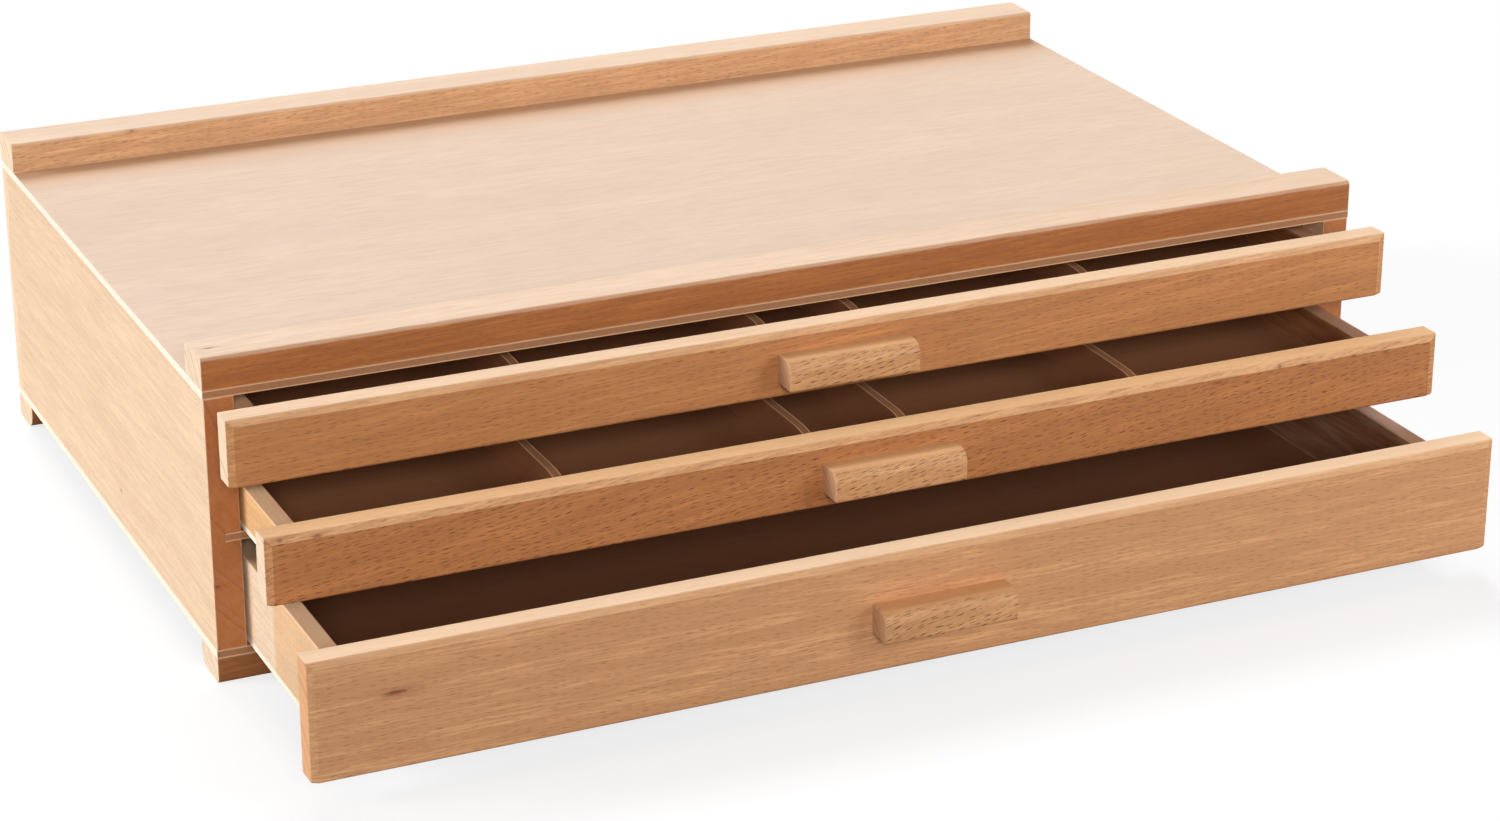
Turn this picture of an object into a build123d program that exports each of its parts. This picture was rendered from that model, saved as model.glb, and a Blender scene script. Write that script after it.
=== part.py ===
from build123d import *
import os

# A pencil box of beech and plywood with three drawers, pulled out in steps.
# X runs across the front, Y from the front of the case to its back, and Z up
# from the table. Every size is in millimetres.

# Case: two solid sides between a top panel and a bottom panel of plywood.
CASE_WIDTH = 400.0
CASE_DEPTH = 242.0
SIDE_THICKNESS = 9.5
SIDE_EDGE_RADIUS = 0.6
PANEL_THICKNESS = 2.7
BACK_THICKNESS = 6.0

# Rails along the front and back of the top, which make it a tray.
RAIL_DEPTH = 17.0
RAIL_HEIGHT = 10.4
RAIL_OUTER_RADIUS = 1.6
RAIL_INNER_RADIUS = 1.2

# Foot rails under the front and back of the case.
FOOT_DEPTH = 17.0
FOOT_HEIGHT = 8.5
FOOT_INNER_RADIUS = 5.5
FOOT_OUTER_RADIUS = 1.5

# Thin shelves that carry the upper and middle drawers, held in side grooves.
SHELF_THICKNESS = 2.7
SHELF_GROOVE_DEPTH = 5.0
GROOVE_PLAY = 0.1

# Drawer fronts, which cover the whole front of the case.
FRONT_THICKNESS = 8.0
SHALLOW_FRONT_HEIGHT = 21.8
DEEP_FRONT_HEIGHT = 38.4
FRONT_GAP = 2.4
TOP_REVEAL = 1.0
FRONT_BEVEL_WIDTH = 2.4
FRONT_BEVEL_DEPTH = 0.6
FRONT_EDGE_RADIUS = 0.5
FRONT_BOTTOM_RADIUS = 1.0

# Drawer boxes behind the fronts.
DRAWER_SIDE_THICKNESS = 6.0
DRAWER_BACK_THICKNESS = 6.0
DRAWER_FLOOR_THICKNESS = 2.0
DRAWER_EDGE_RADIUS = 0.5
SIDE_DROP = 6.8
SIDE_PLAY = 1.0
SLIDE_PLAY = 0.3
REAR_PLAY = 2.0
CLOSED_GAP = 0.3

# Plywood dividers, let into the front and the back of the two shallow drawers.
DIVIDER_THICKNESS = 3.0
DIVIDER_GROOVE_DEPTH = 2.0
DIVIDER_SWEEP_LENGTH = 23.0
DIVIDER_FRONT_DROP = 10.0
INNER_DIVIDER_OFFSET = 16.5
OUTER_DIVIDER_OFFSET = 100.0

# Bar handles, each held by two countersunk screws from inside its drawer.
HANDLE_LENGTH = 45.0
HANDLE_HEIGHT = 10.0
HANDLE_DEPTH = 9.5
HANDLE_DROP = 1.2
HANDLE_TOP_RADIUS = 4.0
HANDLE_BOTTOM_RADIUS = 1.0
HANDLE_END_RADIUS = 0.7
SCREW_SPACING = 24.0
SCREW_SHANK_RADIUS = 1.6
SCREW_HEAD_RADIUS = 3.0
SCREW_HEAD_DEPTH = 2.0
SCREW_GRIP = 6.5
SCREW_PLAY = 0.05
RECESS_SPAN = 3.2
RECESS_WIDTH = 0.7
RECESS_DEPTH = 1.3

# How far each drawer stands open at rest.
UPPER_OPENING = 15.0
MIDDLE_OPENING = 48.0
LOWER_OPENING = 83.0

# Heights that follow from the stack of drawer fronts.
LOWER_FRONT_BOTTOM = FOOT_HEIGHT
LOWER_FRONT_TOP = LOWER_FRONT_BOTTOM + DEEP_FRONT_HEIGHT
MIDDLE_FRONT_BOTTOM = LOWER_FRONT_TOP + FRONT_GAP
MIDDLE_FRONT_TOP = MIDDLE_FRONT_BOTTOM + SHALLOW_FRONT_HEIGHT
UPPER_FRONT_BOTTOM = MIDDLE_FRONT_TOP + FRONT_GAP
UPPER_FRONT_TOP = UPPER_FRONT_BOTTOM + SHALLOW_FRONT_HEIGHT
CASE_TOP = UPPER_FRONT_TOP + TOP_REVEAL
SIDE_BOTTOM = FOOT_HEIGHT + PANEL_THICKNESS
SIDE_TOP = CASE_TOP - PANEL_THICKNESS
LOWER_SHELF_BOTTOM = LOWER_FRONT_TOP + (FRONT_GAP - SHELF_THICKNESS) / 2
UPPER_SHELF_BOTTOM = MIDDLE_FRONT_TOP + (FRONT_GAP - SHELF_THICKNESS) / 2

# Widths and lengths that follow from the case.
HALF_WIDTH = CASE_WIDTH / 2
HALF_OPENING = HALF_WIDTH - SIDE_THICKNESS
HALF_BOX = HALF_OPENING - SIDE_PLAY
HALF_INSIDE = HALF_BOX - DRAWER_SIDE_THICKNESS
BACK_FACE = CASE_DEPTH - BACK_THICKNESS
BOX_LENGTH = BACK_FACE - REAR_PLAY + CLOSED_GAP

# The origin is the middle of the base of the whole piece, drawers open as stated.
FURTHEST_FRONT = max(UPPER_OPENING, MIDDLE_OPENING, LOWER_OPENING) + FRONT_THICKNESS + HANDLE_DEPTH
ORIGIN_Y = (CASE_DEPTH - FURTHEST_FRONT) / 2


def block(x_from, x_to, y_from, y_to, z_from, z_to):
    """A solid box between the given limits."""
    size = (x_to - x_from, y_to - y_from, z_to - z_from)
    middle = ((x_from + x_to) / 2, (y_from + y_to) / 2, (z_from + z_to) / 2)
    return Pos(*middle) * Box(*size)


def edges_along_x(shape, y, z):
    """The straight edges along X that lie at this Y and Z."""
    near = 0.001
    found = shape.edges().filter_by(Axis.X)
    return found.filter_by(lambda e: abs(e.center().Y - y) < near and abs(e.center().Z - z) < near)


def round_x_edge(shape, y, z, radius):
    """Rounds the edge along X at this Y and Z."""
    return fillet(edges_along_x(shape, y, z), radius)


# ---------------------------------------------------------------- case pieces

def shelf_groove(x_from, x_to, shelf_bottom):
    """The slot in a side for one shelf, from its front to the back panel."""
    low = shelf_bottom - GROOVE_PLAY
    high = shelf_bottom + SHELF_THICKNESS + GROOVE_PLAY
    return block(x_from, x_to, 0, BACK_FACE, low, high)


def case_side(sign):
    """One solid side of the case, with its two shelf grooves; sign is -1 left, 1 right."""
    outer = sign * HALF_WIDTH
    inner = sign * HALF_OPENING
    side = block(min(outer, inner), max(outer, inner), 0, BACK_FACE, SIDE_BOTTOM, SIDE_TOP)
    front_corner = side.edges().filter_by(Axis.Z)
    front_corner = front_corner.filter_by(lambda e: abs(e.center().X - outer) + abs(e.center().Y) < 0.001)
    side = fillet(front_corner, SIDE_EDGE_RADIUS)
    groove_end = sign * (HALF_OPENING + SHELF_GROOVE_DEPTH)
    for shelf_bottom in (LOWER_SHELF_BOTTOM, UPPER_SHELF_BOTTOM):
        side -= shelf_groove(min(inner, groove_end), max(inner, groove_end), shelf_bottom)
    return side


def panel(z_from):
    """The top or the bottom panel, the full width and depth of the case."""
    return block(-HALF_WIDTH, HALF_WIDTH, 0, CASE_DEPTH, z_from, z_from + PANEL_THICKNESS)


def back_panel():
    """The back, which covers the rear ends of the sides between the two panels."""
    back = block(-HALF_WIDTH, HALF_WIDTH, BACK_FACE, CASE_DEPTH, SIDE_BOTTOM, SIDE_TOP)
    rear_corners = back.edges().filter_by(Axis.Z).filter_by(lambda e: abs(e.center().Y - CASE_DEPTH) < 0.001)
    return fillet(rear_corners, SIDE_EDGE_RADIUS)


def shelf(z_from):
    """A shelf whose ends sit in the grooves of the sides."""
    half = HALF_OPENING + SHELF_GROOVE_DEPTH - GROOVE_PLAY
    return block(-half, half, 0, BACK_FACE, z_from, z_from + SHELF_THICKNESS)


def tray_rail(at_back):
    """A rail on the top panel, rounded most along its outer top edge."""
    outer = CASE_DEPTH if at_back else 0
    inner = outer - RAIL_DEPTH if at_back else outer + RAIL_DEPTH
    top = CASE_TOP + RAIL_HEIGHT
    rail = block(-HALF_WIDTH, HALF_WIDTH, min(outer, inner), max(outer, inner), CASE_TOP, top)
    rail = round_x_edge(rail, outer, top, RAIL_OUTER_RADIUS)
    return round_x_edge(rail, inner, top, RAIL_INNER_RADIUS)


def foot_rail(at_back):
    """A rail under the bottom panel, rounded most along its inner bottom edge."""
    outer = CASE_DEPTH if at_back else 0
    inner = outer - FOOT_DEPTH if at_back else outer + FOOT_DEPTH
    foot = block(-HALF_WIDTH, HALF_WIDTH, min(outer, inner), max(outer, inner), 0, FOOT_HEIGHT)
    foot = round_x_edge(foot, inner, 0, FOOT_INNER_RADIUS)
    return round_x_edge(foot, outer, 0, FOOT_OUTER_RADIUS)


# -------------------------------------------------------------- drawer pieces
# A drawer is drawn with the back of its front at Y = 0, then moved to its place.

def divider_slot(x, y_from, y_to, z_from, z_to):
    """The groove that takes one end of a divider."""
    half = DIVIDER_THICKNESS / 2 + GROOVE_PLAY
    return block(x - half, x + half, y_from, y_to, z_from, z_to)


def screw_places(front_bottom, front_top):
    """The two points on the back of a front where its handle screws go in."""
    z = (front_bottom + front_top) / 2 - HANDLE_DROP
    return [(-SCREW_SPACING / 2, z), (SCREW_SPACING / 2, z)]


def screw_body(x, z, play):
    """A countersunk screw without its recess, or the hole that takes it."""
    shank = SCREW_SHANK_RADIUS + play
    head = SCREW_HEAD_RADIUS + play
    tip = -FRONT_THICKNESS - SCREW_GRIP - play
    profile = Polyline((0, 0), (head, 0), (shank, -SCREW_HEAD_DEPTH), (shank, tip), (0, tip), close=True)
    turned = revolve(make_face(Plane.XY * profile), Axis.Y, 360)
    return Pos(x, 0, z) * turned


def screw(x, z):
    """A countersunk screw with a cross recess, flush with the back of the front."""
    half_span = RECESS_SPAN / 2
    half_width = RECESS_WIDTH / 2
    level = block(x - half_span, x + half_span, -RECESS_DEPTH, 0, z - half_width, z + half_width)
    upright = block(x - half_width, x + half_width, -RECESS_DEPTH, 0, z - half_span, z + half_span)
    return screw_body(x, z, 0) - level - upright


def front_board(front_bottom, front_top):
    """The board of a drawer front, its face bevelled a little along the top and the two ends."""
    board = block(-HALF_WIDTH, HALF_WIDTH, -FRONT_THICKNESS, 0, front_bottom, front_top)
    board = round_x_edge(board, -FRONT_THICKNESS, front_bottom, FRONT_BOTTOM_RADIUS)
    face = board.faces().sort_by(Axis.Y)[0]
    face_top = face.bounding_box().max.Z
    framed = face.edges().filter_by(
        lambda e: e.center().Z > face_top - 0.001 or abs(e.center().X) > HALF_WIDTH - 0.001
    )
    board = chamfer(framed, FRONT_BEVEL_WIDTH, FRONT_BEVEL_DEPTH, reference=face)
    rim = board.edges().filter_by(lambda e: abs(e.center().Y - (FRONT_BEVEL_DEPTH - FRONT_THICKNESS)) < 0.001)
    return fillet(rim, FRONT_EDGE_RADIUS)


def drawer_front(front_bottom, front_top, floor_top, side_top, divider_places):
    """A front board with divider grooves and holes for the handle screws."""
    front = front_board(front_bottom, front_top)
    for x in divider_places:
        front -= divider_slot(x, -DIVIDER_GROOVE_DEPTH, 0, floor_top, side_top - DIVIDER_FRONT_DROP)
    for x, z in screw_places(front_bottom, front_top):
        front -= screw_body(x, z, SCREW_PLAY)
    return front


def drawer_side(sign, floor_top, side_top):
    """One side board of a drawer box, with eased top edges."""
    outer = sign * HALF_BOX
    inner = sign * HALF_INSIDE
    side = block(min(outer, inner), max(outer, inner), 0, BOX_LENGTH, floor_top, side_top)
    top_edges = side.edges().filter_by(Axis.Y).filter_by(lambda e: abs(e.center().Z - side_top) < 0.001)
    return fillet(top_edges, DRAWER_EDGE_RADIUS)


def drawer_back(floor_top, side_top, divider_places):
    """The back board of a drawer box, between its sides."""
    front_face = BOX_LENGTH - DRAWER_BACK_THICKNESS
    back = block(-HALF_INSIDE, HALF_INSIDE, front_face, BOX_LENGTH, floor_top, side_top)
    for x in divider_places:
        back -= divider_slot(x, front_face, front_face + DIVIDER_GROOVE_DEPTH, floor_top, side_top)
    return back


def drawer_floor(floor_bottom):
    """The plywood floor, which covers the underside of the sides and the back."""
    return block(-HALF_BOX, HALF_BOX, 0, BOX_LENGTH, floor_bottom, floor_bottom + DRAWER_FLOOR_THICKNESS)


def divider(x, floor_top, side_top):
    """A divider whose top edge curves down to where it meets the front."""
    start = GROOVE_PLAY - DIVIDER_GROOVE_DEPTH
    end = BOX_LENGTH - DRAWER_BACK_THICKNESS + DIVIDER_GROOVE_DEPTH - GROOVE_PLAY
    low = side_top - DIVIDER_FRONT_DROP
    outline = Polyline(
        (0, low),
        (start, low),
        (start, floor_top),
        (end, floor_top),
        (end, side_top),
        (DIVIDER_SWEEP_LENGTH, side_top),
    )
    outline += TangentArc((DIVIDER_SWEEP_LENGTH, side_top), (0, low), tangent=(-1, 0))
    board = extrude(Plane.YZ * make_face(outline), DIVIDER_THICKNESS / 2, both=True)
    return Pos(x, 0, 0) * board


def handle(front_bottom, front_top):
    """A square bar on the front, rounded most along its upper edge, with two blind screw holes."""
    middle = (front_bottom + front_top) / 2 - HANDLE_DROP
    half = HANDLE_LENGTH / 2
    rear = -FRONT_THICKNESS
    nose = rear - HANDLE_DEPTH
    low = middle - HANDLE_HEIGHT / 2
    high = middle + HANDLE_HEIGHT / 2
    bar = block(-half, half, nose, rear, low, high)
    bar = round_x_edge(bar, nose, high, HANDLE_TOP_RADIUS)
    bar = round_x_edge(bar, nose, low, HANDLE_BOTTOM_RADIUS)
    ends = bar.edges().filter_by(Axis.Z).filter_by(lambda e: abs(e.center().Y - nose) < 0.001)
    bar = fillet(ends, min(HANDLE_END_RADIUS, 0.9 * HANDLE_BOTTOM_RADIUS))
    for x, z in screw_places(front_bottom, front_top):
        bar -= screw_body(x, z, SCREW_PLAY)
    return bar


def handle_screws(front_bottom, front_top):
    """The pair of screws of one handle, as two separate solids."""
    return Compound([screw(x, z) for x, z in screw_places(front_bottom, front_top)])


def drawer(name, rest_on, front_bottom, front_top, opening, divider_places):
    """All pieces of one drawer, by node name; rest_on is the surface it slides on."""
    floor_bottom = rest_on + SLIDE_PLAY
    floor_top = floor_bottom + DRAWER_FLOOR_THICKNESS
    side_top = front_top - SIDE_DROP
    pieces = {
        f"{name}_drawer_front": drawer_front(front_bottom, front_top, floor_top, side_top, divider_places),
        f"{name}_drawer_left_side": drawer_side(-1, floor_top, side_top),
        f"{name}_drawer_right_side": drawer_side(1, floor_top, side_top),
        f"{name}_drawer_back": drawer_back(floor_top, side_top, divider_places),
        f"{name}_drawer_floor": drawer_floor(floor_bottom),
        f"{name}_drawer_handle": handle(front_bottom, front_top),
        f"{name}_handle_screws": handle_screws(front_bottom, front_top),
    }
    for number, x in enumerate(divider_places, start=1):
        pieces[f"{name}_drawer_divider_{number}"] = divider(x, floor_top, side_top)
    return {node: Pos(0, -opening, 0) * shape for node, shape in pieces.items()}


def case():
    """All pieces of the case, by node name."""
    return {
        "case_left_side": case_side(-1),
        "case_right_side": case_side(1),
        "case_top_panel": panel(SIDE_TOP),
        "case_bottom_panel": panel(FOOT_HEIGHT),
        "case_back_panel": back_panel(),
        "upper_drawer_shelf": shelf(UPPER_SHELF_BOTTOM),
        "middle_drawer_shelf": shelf(LOWER_SHELF_BOTTOM),
        "front_tray_rail": tray_rail(at_back=False),
        "back_tray_rail": tray_rail(at_back=True),
        "front_foot_rail": foot_rail(at_back=False),
        "back_foot_rail": foot_rail(at_back=True),
    }


def whole_box():
    """Every piece of the box in its place, by node name."""
    dividers = [-OUTER_DIVIDER_OFFSET, -INNER_DIVIDER_OFFSET, INNER_DIVIDER_OFFSET, OUTER_DIVIDER_OFFSET]
    upper_floor = UPPER_SHELF_BOTTOM + SHELF_THICKNESS
    middle_floor = LOWER_SHELF_BOTTOM + SHELF_THICKNESS
    pieces = case()
    pieces |= drawer("upper", upper_floor, UPPER_FRONT_BOTTOM, UPPER_FRONT_TOP, UPPER_OPENING, dividers)
    pieces |= drawer("middle", middle_floor, MIDDLE_FRONT_BOTTOM, MIDDLE_FRONT_TOP, MIDDLE_OPENING, dividers)
    pieces |= drawer("lower", SIDE_BOTTOM, LOWER_FRONT_BOTTOM, LOWER_FRONT_TOP, LOWER_OPENING, [])
    return pieces


os.makedirs("parts", exist_ok=True)
for node_name, piece in whole_box().items():
    export_step(Pos(0, -ORIGIN_Y, 0) * piece, f"parts/{node_name}.step")
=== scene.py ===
import math

import bpy
from bpy.props import FloatProperty, FloatVectorProperty, PointerProperty
from bpy.types import Operator, Panel, PropertyGroup
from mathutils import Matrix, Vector


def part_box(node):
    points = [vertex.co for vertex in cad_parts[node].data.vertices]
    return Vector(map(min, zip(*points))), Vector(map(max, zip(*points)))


bl_info = {
    "name": "Pencil drawer box",
    "version": (1, 0, 0),
    "blender": (4, 5, 0),
    "location": "3D View > Sidebar > Pencil box",
    "description": "Wood finishes and a plain studio for a beech box with three drawers",
    "category": "Material",
}

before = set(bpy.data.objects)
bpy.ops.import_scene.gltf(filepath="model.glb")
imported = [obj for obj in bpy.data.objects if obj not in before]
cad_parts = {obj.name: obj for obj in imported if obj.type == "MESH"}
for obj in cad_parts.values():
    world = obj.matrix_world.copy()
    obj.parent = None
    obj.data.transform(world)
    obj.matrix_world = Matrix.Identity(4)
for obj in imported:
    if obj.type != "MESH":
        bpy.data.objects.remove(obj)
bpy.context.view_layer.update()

DRAWERS = ("upper", "middle", "lower")
DIVIDED_DRAWERS = ("upper", "middle")
DIVIDERS = 4
MM = 1000.0  # millimetres in a metre


# ------------------------------------------------------------------ settings

def shade(red, green, blue):
    """A colour given by its screen values from 0 to 255, as linear light."""
    linear = []
    for value in (red, green, blue):
        part = value / 255
        linear.append(part / 12.92 if part <= 0.04045 else ((part + 0.055) / 1.055) ** 2.4)
    return tuple(linear)


def wood_colour(name, description, red, green, blue):
    """A colour setting for a kind of wood."""
    return FloatVectorProperty(name=name, description=description, subtype="COLOR", size=3,
                               min=0.0, max=1.0, default=shade(red, green, blue))


def share_setting(name, description, default):
    """A setting from 0 to 1."""
    return FloatProperty(name=name, description=description, default=default,
                         min=0.0, max=1.0, subtype="FACTOR")


def light_setting(name, description, default):
    """A setting for the strength of a light."""
    return FloatProperty(name=name, description=description, default=default, min=0.0)


def angle_setting(name, description, default):
    """A setting for an angle, kept in radians."""
    return FloatProperty(name=name, description=description, default=default,
                         subtype="ANGLE", unit="ROTATION")


class BeechSettings(PropertyGroup):
    """Colours and figure of the solid beech boards."""

    upper_front: wood_colour("Upper front", "Face of the upper drawer front", 218, 151, 93)
    middle_front: wood_colour("Middle front", "Face of the middle drawer front", 209, 141, 84)
    lower_front: wood_colour("Lower front", "Face of the lower drawer front", 247, 187, 134)
    rails: wood_colour("Rails", "Face of the front tray rail", 191, 120, 62)
    # Painted light: the back rail's face is paler than the front rail's, for the light bounced onto it from
    # the tray panel.
    lit_back_rail: wood_colour("Back rail", "Face of the rail at the back of the tray", 237, 185, 137)
    case_sides: wood_colour("Case sides", "Outer faces of the case", 250, 218, 183)
    feet: wood_colour("Feet", "Faces of the foot rails", 180, 114, 62)
    case_edges: wood_colour("Case edges", "Front ends of the case sides", 178, 106, 50)
    drawer_sides: wood_colour("Drawer sides", "Side boards of the two shallow drawers", 244, 196, 138)
    deep_sides: wood_colour("Deep sides", "Side boards of the lower drawer", 252, 228, 198)
    # Painted shadow: the front part of the lower drawer's sides is darker and more orange, where the middle
    # drawer's front shades it.
    deep_side_shadow: wood_colour("Deep sides in front", "Front part of the lower drawer's sides", 240, 186, 128)
    # Painted shade: the faces of the drawer sides inside the drawers are darker and browner, for the shade in
    # them.
    inner_face_shade: wood_colour("Inner faces", "Faces of the drawer sides inside the drawers", 162, 96, 58)
    # Painted light: the top edges of the left drawer sides are paler, as lit from the left; the right ones
    # are painted shaded.
    lit_side_tops: wood_colour("Side tops", "Top edges of the left drawer sides", 234, 192, 152)
    shaded_tops: wood_colour("Shaded side tops", "Top edges of the right drawer sides", 200, 148, 114)
    drawer_backs: wood_colour("Backs", "Back boards of the drawers and of the case", 214, 156, 108)
    handles: wood_colour("Handles", "Bar handles", 231, 174, 119)
    # Painted light: the sawn ends are paler than beech end grain is, for the strong light from the left on
    # them.
    lit_end_grain: wood_colour("End grain", "Sawn ends of the fronts and rails", 246, 220, 190)
    lower_end: wood_colour("Lower front ends", "Sawn ends of the lower drawer front", 223, 168, 121)
    handle_ends: wood_colour("Handle ends", "Sawn ends of the handles", 226, 180, 140)
    # Painted light: the upward faces of the fronts and drawer backs are paler than their faces, for the light
    # from above and the satin sheen on them.
    lit_top_grain: wood_colour("Top edges", "Upward faces of the fronts", 240, 204, 166)
    # Painted shade: the middle front's top lies in the shade of the upper front and takes warm light bounced
    # from it, so it is darker and golden.
    shaded_golden_top: wood_colour("Golden top edge", "Upward face of the middle front", 226, 176, 120)
    # Painted highlight: the shallow bevels round the faces of the fronts are paler, as they catch more light
    # than the faces.
    bevel: wood_colour("Bevels", "Shallow bevels round the faces of the fronts", 238, 184, 132)
    # Painted light: the rail tops are paler than the rail faces, for the light from above.
    lit_rail_tops: wood_colour("Rail tops", "Upward faces of the rails", 236, 204, 173)
    fleck: wood_colour("Ray flecks", "Short dark flecks of the beech", 112, 56, 23)
    knot: wood_colour("Knots", "Small knots and dark marks", 112, 46, 18)
    fleck_amount: share_setting("Fleck amount", "How strongly the ray flecks show", 0.8)
    ring_amount: share_setting("Ring amount", "How strongly the growth rings show", 0.35)


class PlywoodSettings(PropertyGroup):
    """Colours of the thin plywood sheets."""

    top_face: wood_colour("Top face", "Upper face of the tray panel", 228, 199, 175)
    # Painted shadow: the tray panel before the back rail is darker and tan, in the rail's shadow with warm
    # light bounced from it.
    top_rear_shade: wood_colour("Top face at the rear", "Tan band of the tray panel before the back rail",
                          208, 158, 112)
    # Painted shade: the floors, shelves and bottom are browner than their plywood, for the shade inside the
    # case and drawers; the lower drawer's floor is darker still.
    shaded_floor_face: wood_colour("Floor face", "Faces of drawer floors, shelves and bottom", 160, 106, 70)
    shaded_deep_floor: wood_colour("Deep floor", "Face of the lower drawer's floor", 142, 92, 60)
    # Partly painted shade: the dividers' pale plywood is darkened part way for the shade inside the drawers.
    divider_face_in_shade: wood_colour("Divider face", "Faces of the dividers", 180, 122, 84)
    outer_ply: wood_colour("Outer plies", "Cut edges of the two outer plies", 224, 174, 127)
    core_ply: wood_colour("Core ply", "Cut edge of the core ply", 168, 119, 82)
    # Painted light: the cut edges seen along the plies are near white, for the light from the left on them.
    lit_side_ply: wood_colour("Side edges", "Cut edges seen along the plies", 250, 238, 218)


class StageSettings(PropertyGroup):
    """Camera and lights of the studio."""

    lens: FloatProperty(name="Lens", description="Focal length on a 36 mm sensor", default=90.095,
                        min=20.0, max=300.0, unit="CAMERA")
    camera_place: FloatVectorProperty(name="Camera place", description="Where the camera stands", size=3,
                                      default=(-0.47985, -1.07881, 0.50845), subtype="TRANSLATION",
                                      unit="LENGTH")
    camera_turn: angle_setting("Camera turn", "Turn of the view to the right of straight ahead", 0.4267)
    camera_dip: angle_setting("Camera dip", "Dip of the view below the horizon", 0.3844)
    side_light: light_setting("Side light", "Strength of the low light from the left and behind", 3.0)
    top_light: light_setting("Top light", "Strength of the high light from behind", 1.7)
    front_light: light_setting("Front light", "Strength of the light from the front", 1.55)
    front_panel: light_setting("Front panel", "Watts of the soft panel at the front right", 4.5)
    sky: light_setting("Sky light", "Strength of the light from all round", 0.04)


# ------------------------------------------------------------ node shorthand

def feed(tree, socket, value):
    """Feeds a socket from another socket, or sets it to a plain value."""
    if isinstance(value, bpy.types.NodeSocket):
        tree.links.new(value, socket)
    else:
        socket.default_value = value


def add(tree, kind, inputs=None, **options):
    """Adds a node, sets its options and feeds its inputs by name or number."""
    made = tree.nodes.new(kind)
    for name, value in options.items():
        setattr(made, name, value)
    for key, value in (inputs or {}).items():
        feed(tree, made.inputs[key], value)
    return made


def calc(tree, operation, *values):
    """A sum on numbers."""
    return add(tree, "ShaderNodeMath", dict(enumerate(values)), operation=operation).outputs[0]


def times(tree, first, second):
    """Two numbers multiplied."""
    return calc(tree, "MULTIPLY", first, second)


def larger(tree, first, second):
    """The larger of two numbers."""
    return calc(tree, "MAXIMUM", first, second)


def calc_vector(tree, operation, *values):
    """A sum on vectors."""
    return add(tree, "ShaderNodeVectorMath", dict(enumerate(values)), operation=operation).outputs[0]


def length(tree, vector):
    """The length of a vector."""
    return add(tree, "ShaderNodeVectorMath", {0: vector}, operation="LENGTH").outputs["Value"]


def by_grain(tree, board, along, across):
    """A board vector scaled along and across the grain."""
    return calc_vector(tree, "MULTIPLY", board, (along, across, across))


def fade(tree, value, start, end, low=0.0, high=1.0):
    """A smooth change from low to high as the value goes from start to end."""
    limits = {"Value": value, "From Min": start, "From Max": end, "To Min": low, "To Max": high}
    return add(tree, "ShaderNodeMapRange", limits, interpolation_type="SMOOTHSTEP").outputs["Result"]


def four(colour):
    """A plain colour with its alpha; a socket is left as it is."""
    if isinstance(colour, bpy.types.NodeSocket):
        return colour
    return (*tuple(colour)[:3], 1.0)


def mix(tree, amount, first, second):
    """Two colours mixed by an amount."""
    parts = {"Factor": amount, "A": four(first), "B": four(second)}
    return add(tree, "ShaderNodeMix", parts, data_type="RGBA").outputs["Result"]


def stain(tree, colour, mask, amount, tone):
    """An amount of a tone mixed into a colour where a mask has it."""
    return mix(tree, times(tree, mask, amount), colour, tone)


def noise_node(tree, vector, scale, detail, roughness=0.5):
    """A soft noise on a vector."""
    inputs = {"Vector": vector, "Scale": scale, "Detail": detail, "Roughness": roughness}
    return add(tree, "ShaderNodeTexNoise", inputs)


def noise(tree, vector, scale, detail, roughness=0.5):
    """A soft noise on a vector, as numbers round a half."""
    return noise_node(tree, vector, scale, detail, roughness).outputs[0]


def sway(tree, vector, scale, detail):
    """A soft noise on a vector, as vectors round zero."""
    colour = noise_node(tree, vector, scale, detail).outputs["Color"]
    return calc_vector(tree, "SUBTRACT", colour, (0.5, 0.5, 0.5))


def split(tree, vector):
    """The three parts of a vector."""
    return add(tree, "ShaderNodeSeparateXYZ", {0: vector}).outputs


def join(tree, x, y, z):
    """A vector from its three parts."""
    return add(tree, "ShaderNodeCombineXYZ", {0: x, 1: y, 2: z}).outputs[0]


def new_group(name, inputs, outputs):
    """A shader node group; inputs are (name, kind, default) and outputs are names of numbers."""
    group = bpy.data.node_groups.new(name, "ShaderNodeTree")
    for label, kind, value in inputs:
        socket = group.interface.new_socket(name=label, in_out="INPUT", socket_type="NodeSocket" + kind)
        if value is not None:
            socket.default_value = value
    for label in outputs:
        group.interface.new_socket(name=label, in_out="OUTPUT", socket_type="NodeSocketFloat")
    return group, group.nodes.new("NodeGroupInput").outputs, group.nodes.new("NodeGroupOutput").inputs


def use_group(tree, name, inputs):
    """Places a node group in a material with its own values."""
    group = bpy.data.node_groups.get(name) or GROUPS[name]()
    made = tree.nodes.new("ShaderNodeGroup")
    made.node_tree = group
    for key, value in inputs.items():
        feed(tree, made.inputs[key], value)
    return made.outputs


# --------------------------------------------------------- wood node groups
# The board vector is in millimetres with X along the grain, and scales are in waves per millimetre.

NOISE_SPREAD = (0.3, 0.7)  # soft noise seldom leaves this range

DRIFT_ALONG = 0.0045
DRIFT_ACROSS = 0.016
LATE_WOOD_START = 0.25  # the late wood's places are shares of a year's ring
LATE_WOOD_FULL = 0.9
LATE_WOOD_END = 0.92
FAINTEST_YEAR = 0.35
BAND_ALONG = 0.002
BAND_PER_RING = 0.32


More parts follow.
